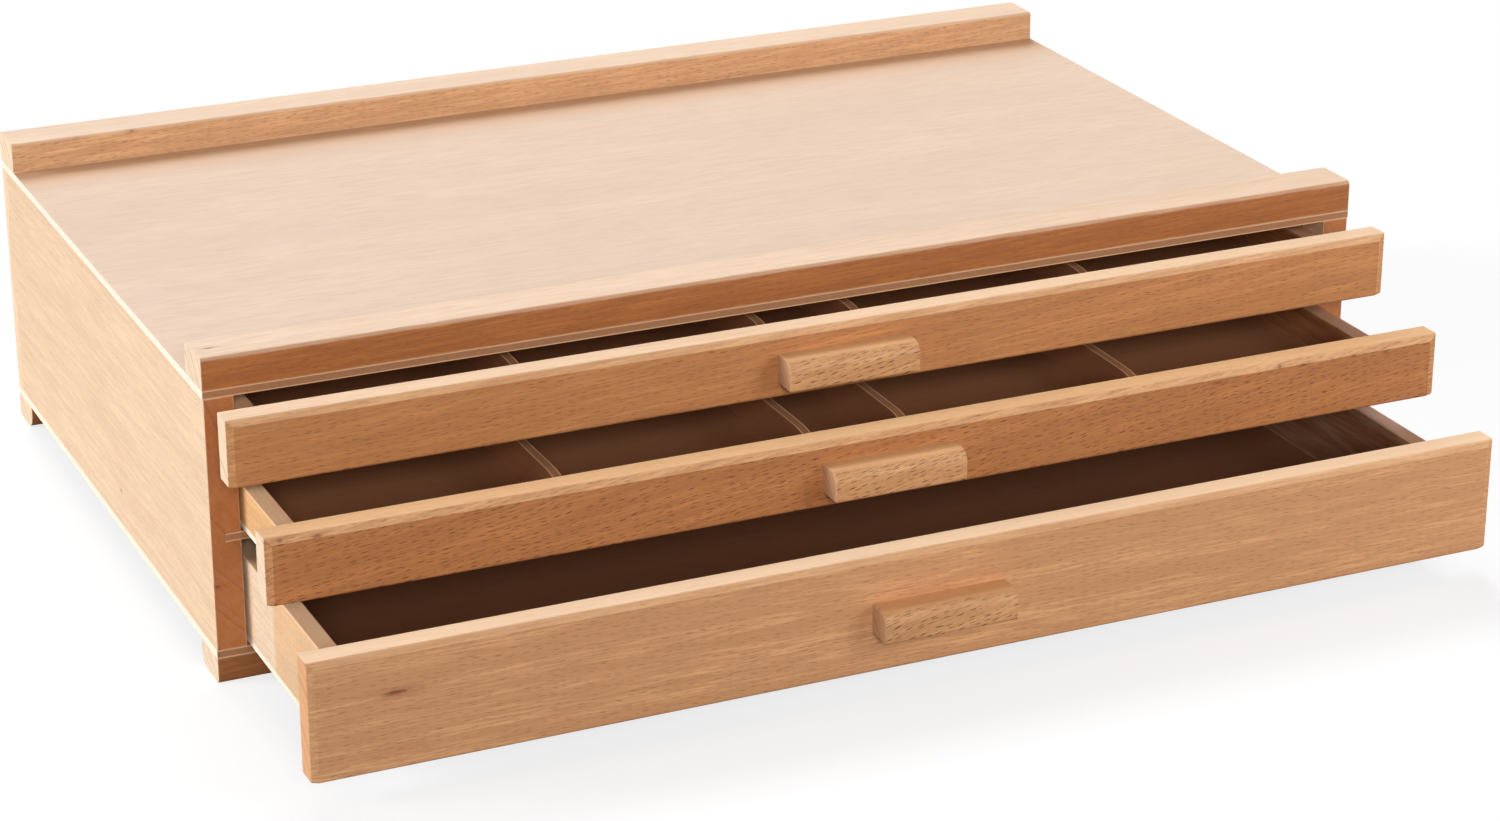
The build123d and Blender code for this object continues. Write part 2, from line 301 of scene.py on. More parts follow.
def growth_rings():
    """Rings round a pith that runs along the board, with slow bands of tone."""
    tree, given, out = new_group(
        "Growth rings",
        [("Board", "Vector", None), ("Pith", "Vector", (0.0, 60.0, -40.0)), ("Spacing", "Float", 3.0),
         ("Wander", "Float", 8.0)],
        ["Ring", "Band"],
    )
    drift = sway(tree, by_grain(tree, given["Board"], DRIFT_ALONG, DRIFT_ACROSS), 1.0, 1.0)
    wander = {0: drift, "Scale": given["Wander"]}
    drift = add(tree, "ShaderNodeVectorMath", wander, operation="SCALE").outputs[0]
    moved = calc_vector(tree, "ADD", calc_vector(tree, "SUBTRACT", given["Board"], given["Pith"]), drift)
    radius = length(tree, calc_vector(tree, "MULTIPLY", moved, (0.0, 1.0, 1.0)))
    turns = calc(tree, "DIVIDE", radius, given["Spacing"])
    part = calc(tree, "FRACT", turns)
    late_wood = times(tree, fade(tree, part, LATE_WOOD_START, LATE_WOOD_FULL),
                      fade(tree, part, 1.0, LATE_WOOD_END))
    chance = add(tree, "ShaderNodeTexWhiteNoise", {"W": calc(tree, "FLOOR", turns)}, noise_dimensions="1D")
    year = fade(tree, chance.outputs["Value"], 0.0, 1.0, FAINTEST_YEAR, 1.0)
    feed(tree, out["Ring"], times(tree, late_wood, year))
    along = times(tree, split(tree, given["Board"])[0], BAND_ALONG)
    slow = join(tree, along, times(tree, turns, BAND_PER_RING), 0.0)
    feed(tree, out["Band"], fade(tree, noise(tree, slow, 1.0, 2.0), *NOISE_SPREAD))
    return tree


# Each figure of the fibres: its scale along and across the grain, the detail and roughness of its noise,
# and the stretch of the noise that is spread from 0 to 1.
FIBRE_FIGURES = {
    "Streak": (0.06, 1.4, 4.0, 0.6, 0.38, 0.62),
    "Stripe": (0.025, 0.45, 3.0, 0.55, 0.42, 0.6),
    "Cloud": (0.008, 0.05, 3.0, 0.5, 0.3, 0.7),
    "Figure": (0.009, 0.2, 4.0, 0.55, 0.44, 0.58),
}


def fibres():
    """Fine streaks along the grain, coarser stripes, a soft cloud of tone and a wavy figure of bands."""
    tree, given, out = new_group("Wood fibres", [("Board", "Vector", None)], list(FIBRE_FIGURES))
    for name, (along, across, detail, roughness, start, end) in FIBRE_FIGURES.items():
        vector = by_grain(tree, given["Board"], along, across)
        feed(tree, out[name], fade(tree, noise(tree, vector, 1.0, detail, roughness), start, end))
    return tree


FLECK_SWAY_SCALE = (0.05, 0.16, 0.0)
FLECK_SWAY = (0.8, 3.0, 0.0)  # in cells
FLECK_THINNESS = (1.0, 3.2, 0.0)
FLECK_RANDOMNESS = 0.85
FLECK_CORE = 0.4  # share of a fleck's size that is fully dark
FLECK_FADE = 0.35  # share of the cells whose fleck is fainter


def ray_flecks():
    """Short spindle flecks that lie along the grain."""
    tree, given, out = new_group(
        "Ray flecks",
        [("Board", "Vector", None), ("Length", "Float", 4.8), ("Height", "Float", 1.3),
         ("Size", "Float", 0.36), ("Share", "Float", 0.8)],
        ["Fleck"],
    )
    along, across, up = split(tree, given["Board"])
    unfolded = join(tree, along, calc(tree, "ADD", across, up), 0.0)
    placed = calc_vector(tree, "DIVIDE", unfolded, join(tree, given["Length"], given["Height"], 1.0))
    weave = sway(tree, calc_vector(tree, "MULTIPLY", unfolded, FLECK_SWAY_SCALE), 1.0, 1.0)
    placed = calc_vector(tree, "ADD", placed, calc_vector(tree, "MULTIPLY", weave, FLECK_SWAY))
    cells = add(tree, "ShaderNodeTexVoronoi",
                {"Vector": placed, "Scale": 1.0, "Randomness": FLECK_RANDOMNESS}, voronoi_dimensions="2D")
    away = calc_vector(tree, "SUBTRACT", placed, cells.outputs["Position"])
    distance = length(tree, calc_vector(tree, "MULTIPLY", away, FLECK_THINNESS))
    spot = fade(tree, distance, given["Size"], times(tree, given["Size"], FLECK_CORE))
    chance = split(tree, cells.outputs["Color"])[0]
    dropped = calc(tree, "SUBTRACT", 1.0, given["Share"])
    kept = fade(tree, chance, dropped, calc(tree, "ADD", dropped, FLECK_FADE))
    feed(tree, out["Fleck"], times(tree, spot, kept))
    return tree


# Patches of the eased edges' wear and painted highlight, and the least share they keep.
WEAR_AND_HIGHLIGHT_PATCHES = 0.12
LEAST_WEAR_AND_HIGHLIGHT = 0.4


def board_edges():
    """How near a point of a board is to the board's edges; Low and High are its corners."""
    tree, given, out = new_group(
        "Board edges",
        [("Point", "Vector", None), ("Low", "Vector", (0.0, 0.0, 0.0)), ("High", "Vector", (1.0, 1.0, 1.0)),
         ("Reach", "Float", 1.0)],
        ["Wear"],
    )
    nearest = calc_vector(tree, "MINIMUM", calc_vector(tree, "SUBTRACT", given["Point"], given["Low"]),
                          calc_vector(tree, "SUBTRACT", given["High"], given["Point"]))
    x, y, z = split(tree, nearest)
    least = calc(tree, "MINIMUM", calc(tree, "MINIMUM", x, y), z)
    most = larger(tree, larger(tree, x, y), z)
    total = calc(tree, "ADD", calc(tree, "ADD", x, y), z)
    middle = calc(tree, "SUBTRACT", calc(tree, "SUBTRACT", total, least), most)
    patchy = fade(tree, noise(tree, given["Point"], WEAR_AND_HIGHLIGHT_PATCHES, 2.0), *NOISE_SPREAD, LEAST_WEAR_AND_HIGHLIGHT, 1.0)
    feed(tree, out["Wear"], times(tree, fade(tree, middle, given["Reach"], 0.0), patchy))
    return tree


# Places through a sheet are shares of its thickness from the middle.
PLY_WAVES = (0.05, 0.05, 0.0)
PLY_WANDER = 0.08
CORE_EDGE = (0.38, 0.33)
GLUE_LINE = 0.34
GLUE_EDGE = (0.05, 0.01)


def ply_layers():
    """The three plies of a thin sheet seen on its cut edge; Depth goes from 0 to 1 through it."""
    tree, given, out = new_group(
        "Ply layers", [("Depth", "Float", 0.5), ("Point", "Vector", None)], ["Core", "Glue"])
    wave = noise(tree, calc_vector(tree, "MULTIPLY", given["Point"], PLY_WAVES), 1.0, 2.0)
    wave = times(tree, calc(tree, "SUBTRACT", wave, 0.5), PLY_WANDER)
    depth = calc(tree, "ADD", given["Depth"], wave)
    off_centre = calc(tree, "ABSOLUTE", calc(tree, "SUBTRACT", depth, 0.5))
    feed(tree, out["Core"], fade(tree, off_centre, *CORE_EDGE))
    from_line = calc(tree, "ABSOLUTE", calc(tree, "SUBTRACT", off_centre, GLUE_LINE))
    feed(tree, out["Glue"], fade(tree, from_line, *GLUE_EDGE))
    return tree


# The edges of a mark and of its halo are shares of its half size.
RAGGED_SCALE = 0.7
RAGGED_EDGE = (0.9, 0.9, 0.9)
MARK_EDGE = (1.0, 0.35)
HALO_EDGE = (2.6, 0.6)


def small_mark():
    """One small mark with a ragged outline: a knot, a pin knot or a dark dash."""
    tree, given, out = new_group(
        "Small mark",
        [("Point", "Vector", None), ("Centre", "Vector", (0.0, 0.0, 0.0)),
         ("Size", "Vector", (1.0, 1.0, 1.0))],
        ["Mark", "Halo"],
    )
    ragged = calc_vector(tree, "MULTIPLY", sway(tree, given["Point"], RAGGED_SCALE, 2.0), RAGGED_EDGE)
    away = calc_vector(tree, "SUBTRACT", given["Point"], given["Centre"])
    away = calc_vector(tree, "DIVIDE", away, given["Size"])
    reach = length(tree, calc_vector(tree, "ADD", away, ragged))
    feed(tree, out["Mark"], fade(tree, reach, *MARK_EDGE))
    feed(tree, out["Halo"], fade(tree, reach, *HALO_EDGE))
    return tree


GROUPS = {
    "Growth rings": growth_rings,
    "Wood fibres": fibres,
    "Ray flecks": ray_flecks,
    "Board edges": board_edges,
    "Ply layers": ply_layers,
    "Small mark": small_mark,
}


# --------------------------------------------------------- parts of a finish

DARKENING = (0.8, 1.0, 1.15)  # powers for red, green and blue
FACING_EDGE = (0.6, 0.9)  # how squarely a face has to look along an axis


def new_finish(name):
    """A material with its node tree, its Principled shader and the object coordinates."""
    material = bpy.data.materials.new(name)
    material.use_nodes = True
    tree = material.node_tree
    shader = tree.nodes["Principled BSDF"]
    coordinates = tree.nodes.new("ShaderNodeTexCoord")
    return material, tree, shader, coordinates


def corners_mm(node):
    """The corners of a CAD node in millimetres."""
    low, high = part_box(node)
    return low * MM, high * MM


def point_mm(tree, coordinates):
    """The place of a surface point in millimetres."""
    return calc_vector(tree, "MULTIPLY", coordinates.outputs["Object"], (MM, MM, MM))


def board_vector(tree, point, node, along_y, slope, shift):
    """Millimetres from the middle of a board, turned so that X follows the grain."""
    low, high = corners_mm(node)
    centred = calc_vector(tree, "SUBTRACT", point, tuple((low + high) / 2))
    turn = (0.0, slope, math.radians(-90) if along_y else 0.0)
    return add(tree, "ShaderNodeMapping", {"Vector": centred, "Rotation": turn, "Location": shift}).outputs[0]


def facing(tree, coordinates, axis):
    """A mask of the faces that look along an axis, either way."""
    part = split(tree, coordinates.outputs["Normal"])["XYZ".index(axis)]
    return fade(tree, calc(tree, "ABSOLUTE", part), *FACING_EDGE)


def darker(colour, share):
    """A colour taken down to a share of itself, with more loss in blue than in red."""
    return tuple(part * share ** power for part, power in zip(colour, DARKENING))


def add_relief(tree, shader, height, strength, depth):
    """Fine relief on a surface; depth is in metres."""
    bump = add(tree, "ShaderNodeBump", {"Strength": strength, "Distance": depth, "Height": height})
    feed(tree, shader.inputs["Normal"], bump.outputs[0])


# --------------------------------------------------------------- solid beech

# The knots and dark marks that show: centre and half size in millimetres, and strength.
MARKS = {
    "case_left_side": (
        ((-200.0, 33.9, 23.7), (0.6, 1.6, 0.5), 0.6),
        ((-198.6, -71.0, 32.6), (1.9, 0.6, 0.8), 0.65),
    ),
    "case_right_side": (
        ((200.0, 88.0, 61.0), (0.6, 1.4, 0.5), 0.5),
    ),
    "front_tray_rail": (
        ((-194.9, -63.0, 106.7), (2.2, 0.5, 0.6), 0.8),
        ((34.0, -71.0, 96.6), (1.2, 0.6, 0.4), 0.7),
        ((39.0, -71.0, 96.6), (0.9, 0.6, 0.35), 0.6),
    ),
    "back_tray_rail": (
        ((-177.3, 153.5, 106.0), (0.8, 1.0, 0.6), 0.6),
        ((-157.4, 154.0, 106.0), (1.4, 0.8, 0.6), 0.7),
        ((-145.6, 153.0, 106.0), (1.6, 0.8, 0.6), 0.7),
        ((-129.5, 152.5, 106.0), (1.0, 0.8, 0.6), 0.5),
    ),
    "middle_drawer_front": (
        ((-195.2, -126.6, 69.7), (1.3, 0.8, 0.7), 0.5),
        ((-183.8, -126.6, 69.2), (2.0, 0.9, 0.8), 0.6),
        ((117.3, -126.6, 67.4), (1.8, 0.8, 0.6), 0.5),
        ((140.0, -126.6, 69.2), (1.0, 0.8, 0.8), 0.6),
        ((149.1, -126.6, 68.4), (2.0, 0.8, 0.6), 0.5),
        ((168.1, -126.6, 68.5), (1.2, 0.8, 0.6), 0.6),
        ((180.0, -126.6, 68.0), (1.2, 0.8, 0.6), 0.5),
    ),
    "lower_drawer_front": (
        ((-173.6, -161.5, 32.8), (5.0, 0.9, 1.1), 0.75),
    ),
}
HALO_AMOUNT = 0.3

# A fleck's cell is Length by Height in millimetres; Size is the fleck in it; Share of the cells have one.
LARGE_FLECKS = {"Length": 4.0, "Height": 1.3, "Size": 0.42, "Share": 0.85}
SMALL_FLECKS = {"Length": 2.3, "Height": 0.9, "Size": 0.36, "Share": 0.6}
SMALL_FLECK_AMOUNT = 0.6

# Each figure of the beech: the share of the board's tone that it goes down to, how strongly it shows on a
# face, and how strongly on ends and tops.
TONES = {"Band": 0.72, "Cloud": 0.78, "Figure": 0.6, "Ring": 0.6, "Streak": 0.55, "Stripe": 0.6}
AMOUNTS = {"Band": 0.5, "Cloud": 0.3, "Streak": 0.6, "Stripe": 0.5}
QUIET_AMOUNTS = {"Streak": 0.1, "Stripe": 0.06, "Fleck": 0.12}
QUIET_LEFT = 0.15  # what is left of the plain mask on ends and tops

BOARD_STEPS = (137.0, 11.0, 7.0)  # millimetres in the grain from one seed to the next
TOP_EDGE = (0.78, 0.98)  # these four are parts of the surface normal
LEANING_EDGE = (0.12, 0.6)
INNER_EDGE = (0.5, 0.9)
SLANT_EDGE = (0.08, 0.2)
SLANT_ABOVE = 0.85
SLANT_BESIDE = 0.5
SLANT_QUIET = 0.6
LEANING_AMOUNT = 0.5
LEANING_QUIET = 0.8
TOP_CLOUD_TONE = 0.9
FRONT_SHADOW_BLEND = 1.5  # millimetres
END_BAND_AMOUNT = 0.5
END_BAND_TONE = 0.84
END_LINE_POWER = 2.5
END_LINE_AMOUNT = 0.75
END_LINE_TONE = 0.55
# The eased edges: wear and a painted highlight, their reach and strength.
WEAR_AND_HIGHLIGHT_REACH = 0.55  # millimetres
WEAR_AND_HIGHLIGHT_AMOUNT = 0.3
SATIN_ROUGHNESS = 0.46
STREAK_ROUGHNESS = 0.14
END_ROUGHNESS = 0.14
STREAK_RELIEF = 0.35
BEECH_RELIEF = 0.3
BEECH_DEPTH = 0.0002  # metres


def add_marks(tree, point, colour, node):
    """Adds a board's knots and dark marks to its colour."""
    wood = bpy.context.scene.beech_wood
    for centre, size, strength in MARKS.get(node, ()):
        mark = use_group(tree, "Small mark", {"Point": point, "Centre": centre, "Size": size})
        colour = stain(tree, colour, mark["Halo"], HALO_AMOUNT * strength, wood.fleck)
        colour = stain(tree, colour, mark["Mark"], strength, wood.knot)
    return colour


def all_flecks(tree, board):
    """Where the ray flecks are, in two sizes."""
    large = use_group(tree, "Ray flecks", {"Board": board, **LARGE_FLECKS})["Fleck"]
    small = use_group(tree, "Ray flecks", {"Board": board, **SMALL_FLECKS})["Fleck"]
    return larger(tree, large, times(tree, small, SMALL_FLECK_AMOUNT))


def paint_front_shadow(tree, point, face, front_shadow, edge):
    """A face with a painted shadow colour in front of a place in Y."""
    in_front = fade(tree, split(tree, point)[1], edge + FRONT_SHADOW_BLEND, edge - FRONT_SHADOW_BLEND)
    return mix(tree, in_front, face, front_shadow)


def broad_tones(tree, colour, face, rings_out, fibre, grain, figure):
    """Slow bands, clouds and a wavy figure over a whole board."""
    colour = stain(tree, colour, rings_out["Band"], AMOUNTS["Band"] * grain, darker(face, TONES["Band"]))
    colour = stain(tree, colour, fibre["Cloud"], AMOUNTS["Cloud"] * grain, darker(face, TONES["Cloud"]))
    return stain(tree, colour, fibre["Figure"], figure, darker(face, TONES["Figure"]))


def slant_mask(tree, sideways, up):
    """Where the painted highlight on the shallow bevels round a face goes: strong above it, weaker beside it.
    """
    above = times(tree, fade(tree, up, *SLANT_EDGE), SLANT_ABOVE)
    beside = times(tree, fade(tree, calc(tree, "ABSOLUTE", sideways), *SLANT_EDGE), SLANT_BESIDE)
    return larger(tree, above, beside)


def paint_top_shading(tree, colour, top, fibre, leaning, tops):
    """Painted light on a board's upward face: a paler colour for the light from above, half as strong where
    the surface only leans upwards.
    """
    pale = mix(tree, fibre["Cloud"], top, darker(top, TOP_CLOUD_TONE))
    colour = stain(tree, colour, leaning, LEANING_AMOUNT, pale)
    return mix(tree, tops, colour, pale)


def sawn_end(tree, end, rings_out):
    """The colour of a sawn end, with fine arcs of the growth rings."""
    colour = stain(tree, end, rings_out["Band"], END_BAND_AMOUNT, darker(end, END_BAND_TONE))
    line = calc(tree, "POWER", rings_out["Ring"], END_LINE_POWER)
    return stain(tree, colour, line, END_LINE_AMOUNT, darker(end, END_LINE_TONE))


def fine_lines(tree, colour, face, rings_out, fibre, plain, ring_amount, grain):
    """Ring lines, streaks and stripes, strongest where a board is plain."""
    line = times(tree, rings_out["Ring"], ring_amount)
    colour = stain(tree, colour, line, plain, darker(face, TONES["Ring"]))
    for name in ("Streak", "Stripe"):
        amount = fade(tree, plain, QUIET_LEFT, 1.0, QUIET_AMOUNTS[name], AMOUNTS[name] * grain)
        colour = stain(tree, colour, fibre[name], amount, darker(face, TONES[name]))
    return colour


def worn_and_highlighted_edges(tree, point, colour, node):
    """A board's colour with paler eased edges: wear, and a painted highlight along them."""
    low, high = corners_mm(node)
    corners = {"Low": tuple(low), "High": tuple(high)}
    wear_and_highlight = use_group(tree, "Board edges", {"Point": point, **corners, "Reach": WEAR_AND_HIGHLIGHT_REACH})
    return stain(tree, colour, wear_and_highlight["Wear"], WEAR_AND_HIGHLIGHT_AMOUNT, bpy.context.scene.beech_wood.lit_end_grain)


def satin(tree, shader, fibre, ends, fleck):
    """A satin surface, duller on streaks and sawn ends, with flecks a little sunk."""
    rough = calc(tree, "ADD", SATIN_ROUGHNESS, times(tree, fibre["Streak"], STREAK_ROUGHNESS))
    feed(tree, shader.inputs["Roughness"], calc(tree, "ADD", rough, times(tree, ends, END_ROUGHNESS)))
    height = calc(tree, "SUBTRACT", times(tree, fibre["Streak"], STREAK_RELIEF), fleck)
    add_relief(tree, shader, height, BEECH_RELIEF, BEECH_DEPTH)


def beech(name, node, face, along_y=False, end=None, top=None, slope=0.0, seed=0.0,
          pith=(0.0, 55.0, -30.0), spacing=3.2, wander=9.0, flecks=1.0, rings=1.0, grain=1.0,
          figure=0.15, bevel=None, inner_shade=None, front_shadow=None):
    """A satin beech finish for one board, with rings, ray flecks, end grain, and eased edges that are worn
    and carry a painted highlight.

    end, top and bevel colour the sawn ends, the upward faces and the shallow slants round a face, top with
    painted light and shade and bevel with a painted highlight; inner is a painted shade colour and the way in
    X that the face inside a drawer looks; fore is a painted shadow colour and the place in Y in front of
    which it takes over.
    """
    wood = bpy.context.scene.beech_wood
    material, tree, shader, coordinates = new_finish(name)
    shift = tuple(seed * step for step in BOARD_STEPS)
    point = point_mm(tree, coordinates)
    board = board_vector(tree, point, node, along_y, slope, shift)
    pith = (0.0, pith[1] + shift[1], pith[2] + shift[2])
    rings_out = use_group(tree, "Growth rings",
                          {"Board": board, "Pith": pith, "Spacing": spacing, "Wander": wander})
    fibre = use_group(tree, "Wood fibres", {"Board": board})

    ends = facing(tree, coordinates, "Y" if along_y else "X")
    sideways, _, up = split(tree, coordinates.outputs["Normal"])
    # Painted light and shade on the upward faces: tops where they face up, leaning where a rounding only
    # leans up.
    tops = fade(tree, up, *TOP_EDGE)
    leaning = fade(tree, up, *LEANING_EDGE)
    quiet = tops if top is None else larger(tree, tops, times(tree, leaning, LEANING_QUIET))

    colour = face if front_shadow is None else paint_front_shadow(tree, point, face, *front_shadow)
    colour = broad_tones(tree, colour, face, rings_out, fibre, grain, figure)
    # Painted shade on the face inside a drawer.
    if inner_shade is not None:
        inside = fade(tree, times(tree, sideways, inner_shade[1]), *INNER_EDGE)
        colour = mix(tree, inside, colour, inner_shade[0])
    # A painted highlight on the shallow bevels round the face.
    if bevel is not None:
        slant = slant_mask(tree, sideways, up)
        colour = mix(tree, slant, colour, bevel)
        quiet = larger(tree, quiet, times(tree, slant, SLANT_QUIET))
    if top is not None:
        colour = paint_top_shading(tree, colour, top, fibre, leaning, tops)
    if end is not None:
        colour = mix(tree, ends, colour, sawn_end(tree, end, rings_out))

    plain = calc(tree, "SUBTRACT", 1.0, times(tree, larger(tree, ends, quiet), 1.0 - QUIET_LEFT))
    colour = fine_lines(tree, colour, face, rings_out, fibre, plain, wood.ring_amount * rings, grain)
    fleck = times(tree, all_flecks(tree, board),
                  fade(tree, plain, QUIET_LEFT, 1.0, QUIET_AMOUNTS["Fleck"], 1.0))
    fleck = times(tree, fleck, min(1.0, wood.fleck_amount * flecks))
    colour = mix(tree, fleck, colour, wood.fleck)
    colour = add_marks(tree, point, colour, node)
    feed(tree, shader.inputs["Base Color"], worn_and_highlighted_edges(tree, point, colour, node))
    satin(tree, shader, fibre, ends, fleck)
    return material


# ------------------------------------------------------------------- plywood

PLY_STEPS = (91.0, 17.0, 5.0)  # millimetres in the veneer from one seed to the next
PLY_FLECKS = {"Length": 4.0, "Height": 1.3, "Size": 0.3, "Share": 0.4}
WISP_ALONG = 0.07
WISP_ACROSS = 0.6
WISP_NOISE = (4.0, 0.62)  # detail and roughness
WISP_SPREAD = (0.35, 0.75)
PLY_TONES = {"Cloud": 0.9, "Wisp": 0.82, "Fleck": 0.55}
PLY_AMOUNTS = {"Cloud": 0.5, "Wisp": 0.4, "Fleck": 0.22, "Band": 0.9}
MOTTLE_SCALE = 0.9
MOTTLE_SPREAD = (0.35, 0.7)
MOTTLE_AMOUNT = 0.5
CORE_MOTTLE_TONE = 0.8
SIDE_MOTTLE_TONE = 0.92
GLUE_AMOUNT = 0.35
GLUE_TONE = 0.6
SIDE_GLUE_AMOUNT = 0.2
PLY_ROUGHNESS = (0.6, 0.7)
COAT_ROUGHNESS = 0.45
PLY_RELIEF = 0.15
PLY_DEPTH = 0.0001  # metres


def veneer(tree, board, point, face, wisp, contrast, band):
    """The quiet face of a sheet, with clouds, wisps and a few faint flecks."""
    fibre = use_group(tree, "Wood fibres", {"Board": board})
    specks = use_group(tree, "Ray flecks", {"Board": board, **PLY_FLECKS})
    colour = stain(tree, face, fibre["Cloud"], PLY_AMOUNTS["Cloud"] * contrast,
                   darker(face, PLY_TONES["Cloud"]))
    # Painted shadow: the band darkens the face between two places in Y.
    if band is not None:
        tone, start, full = band
        share = fade(tree, split(tree, point)[1], start, full, 0.0, PLY_AMOUNTS["Band"])
        colour = mix(tree, share, colour, tone)
    share = fade(tree, wisp, *WISP_SPREAD, 0.0, PLY_AMOUNTS["Wisp"] * contrast)
    colour = mix(tree, share, colour, darker(face, PLY_TONES["Wisp"]))
    return stain(tree, colour, specks["Fleck"], PLY_AMOUNTS["Fleck"] * contrast,
                 darker(face, PLY_TONES["Fleck"]))


def cut_edge(tree, coordinates, point, node, thin_axis, along_y):
    """The three plies of a sheet's cut edges; the edges seen along the plies are paler, as painted light from
    the left.
    """
    ply = bpy.context.scene.plywood
    low, high = corners_mm(node)
    index = "XYZ".index(thin_axis)
    from_low = calc(tree, "SUBTRACT", split(tree, point)[index], low[index])
    depth = calc(tree, "DIVIDE", from_low, high[index] - low[index])
    layers = use_group(tree, "Ply layers", {"Depth": depth, "Point": point})
    mottle = fade(tree, noise(tree, point, MOTTLE_SCALE, 3.0), *MOTTLE_SPREAD, 0.0, MOTTLE_AMOUNT)
    core = mix(tree, mottle, ply.core_ply, darker(ply.core_ply, CORE_MOTTLE_TONE))
    edge = mix(tree, layers["Core"], ply.outer_ply, core)
    edge = stain(tree, edge, layers["Glue"], GLUE_AMOUNT, darker(ply.core_ply, GLUE_TONE))
    pale = mix(tree, mottle, ply.lit_side_ply, darker(ply.lit_side_ply, SIDE_MOTTLE_TONE))
    pale = stain(tree, pale, layers["Glue"], SIDE_GLUE_AMOUNT, ply.core_ply)
    return mix(tree, facing(tree, coordinates, "Y" if along_y else "X"), edge, pale)


def plywood(name, node, face, thin_axis="Z", along_y=False, seed=0.0, contrast=1.0, gloss=0.0, band=None):
    """A thin plywood sheet: quiet veneer on its faces, three plies on its cut edges.

    band is a painted shade colour for the face and the two places in Y between which it comes in.
    """
    material, tree, shader, coordinates = new_finish(name)
    shift = tuple(seed * step for step in PLY_STEPS)
    point = point_mm(tree, coordinates)
    board = board_vector(tree, point, node, along_y, 0.0, shift)
    wisp = noise(tree, by_grain(tree, board, WISP_ALONG, WISP_ACROSS), 1.0, *WISP_NOISE)
    face_colour = veneer(tree, board, point, face, wisp, contrast, band)
    edge_colour = cut_edge(tree, coordinates, point, node, thin_axis, along_y)
    colour = mix(tree, facing(tree, coordinates, thin_axis), edge_colour, face_colour)
    feed(tree, shader.inputs["Base Color"], colour)
    feed(tree, shader.inputs["Roughness"], fade(tree, wisp, *NOISE_SPREAD, *PLY_ROUGHNESS))
    shader.inputs["Coat Weight"].default_value = gloss
    shader.inputs["Coat Roughness"].default_value = COAT_ROUGHNESS
    add_relief(tree, shader, wisp, PLY_RELIEF, PLY_DEPTH)
    return material


# -------------------------------------------------------------------- screws

ZINC_LIGHT = shade(206, 204, 198)
ZINC_DARK = shade(170, 168, 160)
ZINC_PATCHES = 1.2
ZINC_ROUGHNESS = (0.28, 0.42)


def zinc(name):
    """Zinc plated steel with faint patches."""
    material, tree, shader, coordinates = new_finish(name)
    patch = noise(tree, point_mm(tree, coordinates), ZINC_PATCHES, 3.0)
    feed(tree, shader.inputs["Base Color"], mix(tree, patch, ZINC_LIGHT, ZINC_DARK))
    shader.inputs["Metallic"].default_value = 1.0
    feed(tree, shader.inputs["Roughness"], fade(tree, patch, *NOISE_SPREAD, *ZINC_ROUGHNESS))
    return material


def dress(node, material):
    """Puts one finish on a whole CAD node."""
    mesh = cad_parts[node].data
    mesh.materials.clear()
    mesh.materials.append(material)


# ----------------------------------------------------------------- operators
# A seed picks a board's place in the grain, so boards with other seeds look different.

class PENCILBOX_OT_case_sides(Operator):
    """Finish the two solid sides of the case, with the grain from front to back"""

    bl_idname = "pencilbox.case_sides"
    bl_label = "Case sides"

    def execute(self, context):
        wood = context.scene.beech_wood
        for seed, node in enumerate(("case_left_side", "case_right_side"), start=1):
            dress(node, beech(f"{node}_beech", node, wood.case_sides, along_y=True, end=wood.case_edges,
                              seed=seed, pith=(0.0, -95.0, 73.0), spacing=2.4, wander=5.0, flecks=0.25,
                              rings=0.3, grain=0.5, figure=0.06))
        return {"FINISHED"}


# The painted shadow of the back rail on the tray panel, warmed by light bounced from the rail: millimetres
# before the back rail where it starts and where it is full.
RAIL_SHADE_START = 28
RAIL_SHADE_FULL = 3


class PENCILBOX_OT_case_panels(Operator):
    """Finish the top, bottom and back panels and the two shelves"""

    bl_idname = "pencilbox.case_panels"
    bl_label = "Case panels"

    def execute(self, context):
        wood, ply = context.scene.beech_wood, context.scene.plywood
        rail_front = corners_mm("back_tray_rail")[0][1]
        rail_shade_band = (ply.top_rear_shade, rail_front - RAIL_SHADE_START, rail_front - RAIL_SHADE_FULL)
        dress("case_top_panel", plywood("top_panel_plywood", "case_top_panel", ply.top_face, seed=1,
                                        contrast=1.5, gloss=0.12, band=rail_shade_band))
        dress("case_bottom_panel", plywood("bottom_panel_plywood", "case_bottom_panel", ply.shaded_floor_face,
                                           seed=2))
        for seed, node in enumerate(("upper_drawer_shelf", "middle_drawer_shelf"), start=3):
            dress(node, plywood(f"{node}_plywood", node, ply.shaded_floor_face, seed=seed))
        dress("case_back_panel", beech("back_panel_beech", "case_back_panel", wood.drawer_backs, seed=5,
                                       end=wood.case_sides, pith=(0.0, -80.0, 10.0), spacing=4.0))
        return {"FINISHED"}


class PENCILBOX_OT_rails(Operator):
    """Finish the tray rails on the top and the foot rails below"""

    bl_idname = "pencilbox.rails"
    bl_label = "Rails"

    def execute(self, context):
        wood = context.scene.beech_wood
        faces = {"front_tray_rail": wood.rails, "back_tray_rail": wood.lit_back_rail,
                 "front_foot_rail": wood.feet, "back_foot_rail": wood.feet}
        for seed, (node, face) in enumerate(faces.items(), start=6):
            dress(node, beech(f"{node}_beech", node, face, end=wood.lit_end_grain, top=wood.lit_rail_tops,
                              seed=seed, slope=0.04, pith=(0.0, 30.0, -25.0), spacing=2.6, flecks=0.5,
                              rings=0.6))
        return {"FINISHED"}


